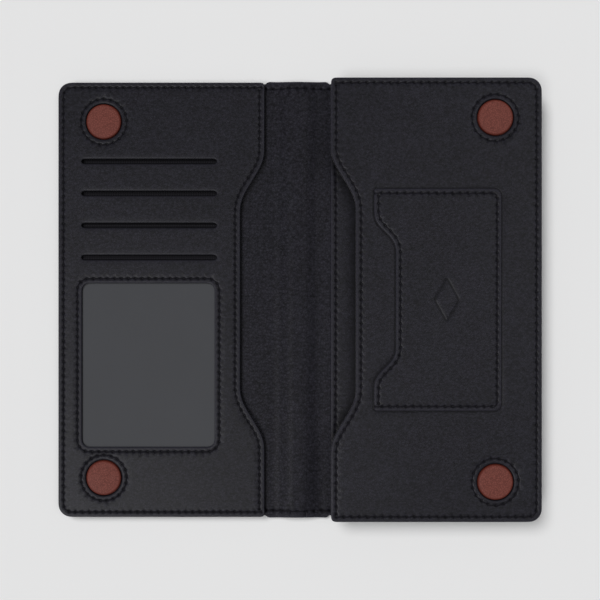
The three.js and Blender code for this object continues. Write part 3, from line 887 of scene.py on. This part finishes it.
# ---------------------------------------------------------------- magnetic discs
def snap_disc(word, end, panel_low, panel_top, crown, body):
    """A domed leather disc in the panel's hole, on a thin flange under the panel."""
    node_name = f"snap_disc_{word}_{end}"
    low, high = box_mm(node_name)
    x, y = (low[:2] + high[:2]) / 2
    magnet_low, magnet_high = box_mm(f"magnet_{word}_{end}")
    recess_r, recess_top = (magnet_high[0] - magnet_low[0]) / 2 + 0.1, magnet_high[2] + 0.1
    flange_r, disc_r = (high[0] - low[0]) / 2, 7.2
    lift = float(crown(np.array([[x, y]]))[0])
    dome = high[2] - panel_top
    curve = [
        (disc_r * math.sin(t), panel_top + lift - 0.1 + (dome + 0.1) * math.cos(t) ** 0.8)
        for t in np.linspace(math.pi / 2 * FLAT_SIDE, 0.02, 14)
    ]
    profile = [
        (0, recess_top),
        (recess_r, recess_top),
        (recess_r, low[2]),
        (flange_r, low[2]),
        (flange_r, panel_low - 0.05),
        (disc_r, panel_low - 0.05),
        *curve,
        (0, panel_top + lift + dome),
    ]
    disc = lathe(f"disc_leather_{word}_{end}", x, y, profile, TAN, wobble=0.05)
    co = np.array([v.co for v in disc.data.vertices]) * 1000
    outward = np.hypot(co[:, 0] - x, co[:, 1] - y) / disc_r
    add_attribute(disc, "rim", ease((outward - 0.86) / 0.14))
    add_attribute(disc, "seam", np.zeros(len(co)))
    finish(disc, [node_name], body)


def ring_runs(word, panel_top, crown, body):
    surface = level(panel_top, crown)
    names = [f"ring_{word}_{end}" for end in ("top", "bottom")]
    return [
        sewn_run(f"thread_{name}", panel_top + THREAD_PROUD, surface, 1, body, f"stitches_{name}")
        for name in names
    ]


# ---------------------------------------------------------------- card leaf
CARD_TOP = box_mm("card_panel")[1][2]
CARD_SHEET = box_mm("id_window")[1][2] + 0.05
BACKING_TOP = box_mm("card_backing")[1][2]
PANEL_AREA, DISC_AREA = 5000, 300  # holes are smaller than the first, and disc holes smaller than the second
MOUTH_SIDE = -27  # the card panel's mouth lies on this side of it


def card_leaf():
    body = "card_leaf"
    surface = level(CARD_TOP, card_crown)
    outline = outline_of(flat_loops("card_panel", CARD_TOP)[0])
    loops = flat_loops("card_panel", CARD_SHEET)
    holes = [outline_of(loop, 1) for loop in loops if abs(area(loop)) < PANEL_AREA]
    wells = [hole for hole in holes if abs(area(hole)) < DISC_AREA]
    mouth_line = outline[outline[:, 0] > MOUTH_SIDE]
    runs = [
        sewn_run(f"thread_{run}", CARD_TOP + THREAD_PROUD, surface, 1, body, f"stitches_{run}")
        for run in ("card_perimeter", "card_mouth", "window")
    ]
    runs += ring_runs("left", CARD_TOP, card_crown, body)

    def underside(points):
        """Turned under to the lining round the leaf's edges, and to the backing along the mouth."""
        x, y = points.T
        to_edge = np.minimum(EDGE_X + x, HALF_Y - np.abs(y))
        to_mouth = np.min(np.hypot(x[:, None] - mouth_line[:, 0], y[:, None] - mouth_line[:, 1]), 1)

        def turned(distance, resting_on):
            fall = resting_on + PLY_GAP - CARD_SHEET
            return CARD_SHEET + fall * (1 - ease((distance - TURNED_EDGE) / TURNED_STEP))

        return np.minimum(turned(to_edge, LINING_HIGH), turned(to_mouth, BACKING_TOP))

    panel = leather_panel(
        "card_panel_leather", outline, surface, underside, BLACK, holes=holes, wells=wells, runs=runs
    )
    finish(panel, ["card_panel"], body)
    low, high = box_mm("id_window")
    sheet = outline_of(flat_loops("id_window", high[2])[0], 0)
    film_top = level(high[2], lambda points: 0.4 * card_crown(points))
    window = leather_panel("window_film", sheet, film_top, level(low[2]), FILM, edge=(0.1, 0.05))
    finish(window, ["id_window"], body)
    for end in ("top", "bottom"):
        snap_disc("left", end, CARD_SHEET, CARD_TOP, card_crown, body)


card_leaf()


# ---------------------------------------------------------------- phone sleeve
FRONT_LOW, FRONT_TOP = (b[2] for b in box_mm("sleeve_front"))
PATCH_LOW, PATCH_TOP = (b[2] for b in box_mm("patch_pocket"))


def phone_leaf():
    body = "phone_leaf"
    low, high = box_mm("sleeve_back")
    back_surface = level(high[2])
    thread_top = high[2] + THREAD_PROUD
    back_run = sewn_run("thread_sleeve_back", thread_top, back_surface, 1, body, "stitches_sleeve_back")
    mouth = outline_of(flat_loops("sleeve_front", FRONT_LOW)[0], 1)
    mouth = mouth[(mouth[:, 0] < 30) & (np.abs(mouth[:, 1]) < 70)]
    mouth = mouth[np.argsort(mouth[:, 1])]

    def painted_mouth_shade(points):
        """Painted shade: the back panel is drawn darker inside the sleeve, under and beside the front's
        mouth, where the front's shade falls.
        """
        x, y = points.T
        past = x - np.interp(y, mouth[:, 1], mouth[:, 0])
        return 0.85 * ease((past + 3.4) / 4.2) * ease((64 - np.abs(y)) / 4)

    back = leather_panel(
        "sleeve_back_leather",
        outline_of(flat_loops("sleeve_back", high[2])[0]),
        back_surface,
        level(low[2]),
        BLACK,
        runs=[back_run],
        shade=painted_mouth_shade,
    )
    finish(back, ["sleeve_back"], body)

    surface = level(FRONT_TOP, sleeve_crown)
    runs = [
        sewn_run(f"thread_{run}", FRONT_TOP + THREAD_PROUD, surface, 1, body, f"stitches_{run}")
        for run in ("sleeve_perimeter", "sleeve_mouth")
    ]
    runs += ring_runs("right", FRONT_TOP, sleeve_crown, body)
    patch_outline = outline_of(flat_loops("patch_pocket", PATCH_LOW)[0], 1)
    loops = flat_loops("sleeve_front", FRONT_LOW)
    holes = [outline_of(loop, 1) for loop in loops[1:]]
    front = leather_panel(
        "sleeve_front_leather",
        outline_of(loops[0], 1),
        surface,
        level(FRONT_LOW),
        BLACK,
        holes=holes,
        wells=holes,
        # A pressed line just outside the patch, drawn dark: a painted shadow line along the patch's edge.
        marks=[patch_outline - normals(patch_outline, True) * 0.25],
        runs=runs,
    )
    finish(front, ["sleeve_front"], body)
    for end in ("top", "bottom"):
        snap_disc("right", end, FRONT_LOW, FRONT_TOP, sleeve_crown, body)

    patch_surface = level(PATCH_TOP, sleeve_crown)
    patch_runs = [
        sewn_run(f"thread_{run}", PATCH_TOP + THREAD_PROUD, patch_surface, 1, body, f"stitches_{run}")
        for run in ("patch_perimeter", "patch_mouth")
    ]
    lozenge = rounded(resampled(np.array([[66, 0], [61, 9], [56, 0], [61, -9]]), 0.4, True), True, 3)
    patch = leather_panel(
        "patch_pocket_leather",
        patch_outline,
        patch_surface,
        level(PATCH_LOW, sleeve_crown),
        BLACK,
        runs=patch_runs,
        marks=[lozenge],
    )
    finish(patch, ["patch_pocket"], body)
    gusset(body)


def gusset(body):
    """The sleeve's side wall, which bows in a little between its seams."""
    low, high = box_mm("sleeve_gusset")
    path = resampled(side_path(1), 1.6, False)
    path = path[path[:, 0] > low[0]]
    inward = normals(path, False)
    levels = np.linspace(0, 1, 9)
    verts, faces = [], []
    bow = lambda t: 0.8 + 0.75 * math.sin(math.pi * t) ** 0.8
    column = [(bow(t), t) for t in levels] + [(bow(t) + 1.15, t) for t in levels[::-1]]
    for p, inner in zip(path, inward):
        for offset, t in column:
            wave = 0.08 * noise.noise(Vector((p[0] * 0.12, p[1] * 0.12, t * 2)))
            x, y = p + inner * (offset + wave)
            verts.append((x, y, low[2] + (high[2] - low[2]) * t))
    m = len(column)
    for i in range(len(path) - 1):
        for k in range(m):
            a, b = i * m + k, i * m + (k + 1) % m
            faces.append((a, b, b + m, a + m))
    faces.append(tuple(range(m)))
    faces.append(tuple(reversed(range(len(verts) - m, len(verts)))))
    wall = new_object("sleeve_wall_leather", verts, faces, [BLACK])
    add_attribute(wall, "rim", np.zeros(len(verts)))
    add_attribute(wall, "seam", np.zeros(len(verts)))
    finish(wall, ["sleeve_gusset"], body)


phone_leaf()

# ---------------------------------------------------------------- CAD nodes that stay as they are
KEPT = {
    "stiffener_board": BOARD,
    "suede": SUEDE,
    "pocket_fabric": WEAVE,
    "magnet": METAL,
}
for part in frame["record"]["subparts"]:
    obj = frame["nodes"][part["node"]]
    if not obj.hide_render and part["material_slot"] in KEPT:
        obj.data.materials.clear()
        obj.data.materials.append(KEPT[part["material_slot"]])


# ---------------------------------------------------------------- floor, lights and camera
def stage():
    mesh = bpy.data.meshes.new("floor")
    mesh.from_pydata([(-3, -3, 0), (3, -3, 0), (3, 3, 0), (-3, 3, 0)], [], [(0, 1, 2, 3)])
    floor = bpy.data.objects.new("floor", mesh)
    bpy.context.scene.collection.objects.link(floor)
    mesh.materials.append(shader("floor", (0.8, 0.8, 0.8), 0.9, Specular_IOR_Level=0.0)[0])
    floor.location.z = -0.00005

    world = bpy.data.worlds.new("studio")
    bpy.context.scene.world = world
    world.use_nodes = True
    background = world.node_tree.nodes["Background"]
    background.inputs["Color"].default_value = (0.97, 0.98, 1, 1)
    background.inputs["Strength"].default_value = 0.14
    lamp("key", 1.79, 26, (-0.42, 0.46, 1.0)).visible_glossy = False
    lamp("second", 0.28, 30, (0.44, 0.12, 1.0))
    lamp("sheen", 0.92, 26, (-0.38, -0.35, 1.0))


def lamp(name, strength, spread, towards):
    """A softbox a long way off: spread is how wide it looks, in degrees."""
    sun = bpy.data.lights.new(name, "SUN")
    sun.energy = strength
    sun.angle = math.radians(spread)
    obj = bpy.data.objects.new(name, sun)
    obj.rotation_euler = Vector(towards).to_track_quat("Z", "Y").to_euler()
    bpy.context.scene.collection.objects.link(obj)
    return obj


def camera():
    data = bpy.data.cameras.new("camera")
    data.sensor_width = 36
    data.lens = 52.6
    data.clip_start = 0.01
    obj = bpy.data.objects.new("camera", data)
    obj.location = (0.00112, -0.0001, 0.3716)
    bpy.context.scene.collection.objects.link(obj)
    bpy.context.scene.camera = obj


stage()
camera()
bpy.context.scene.view_settings.view_transform = "Standard"
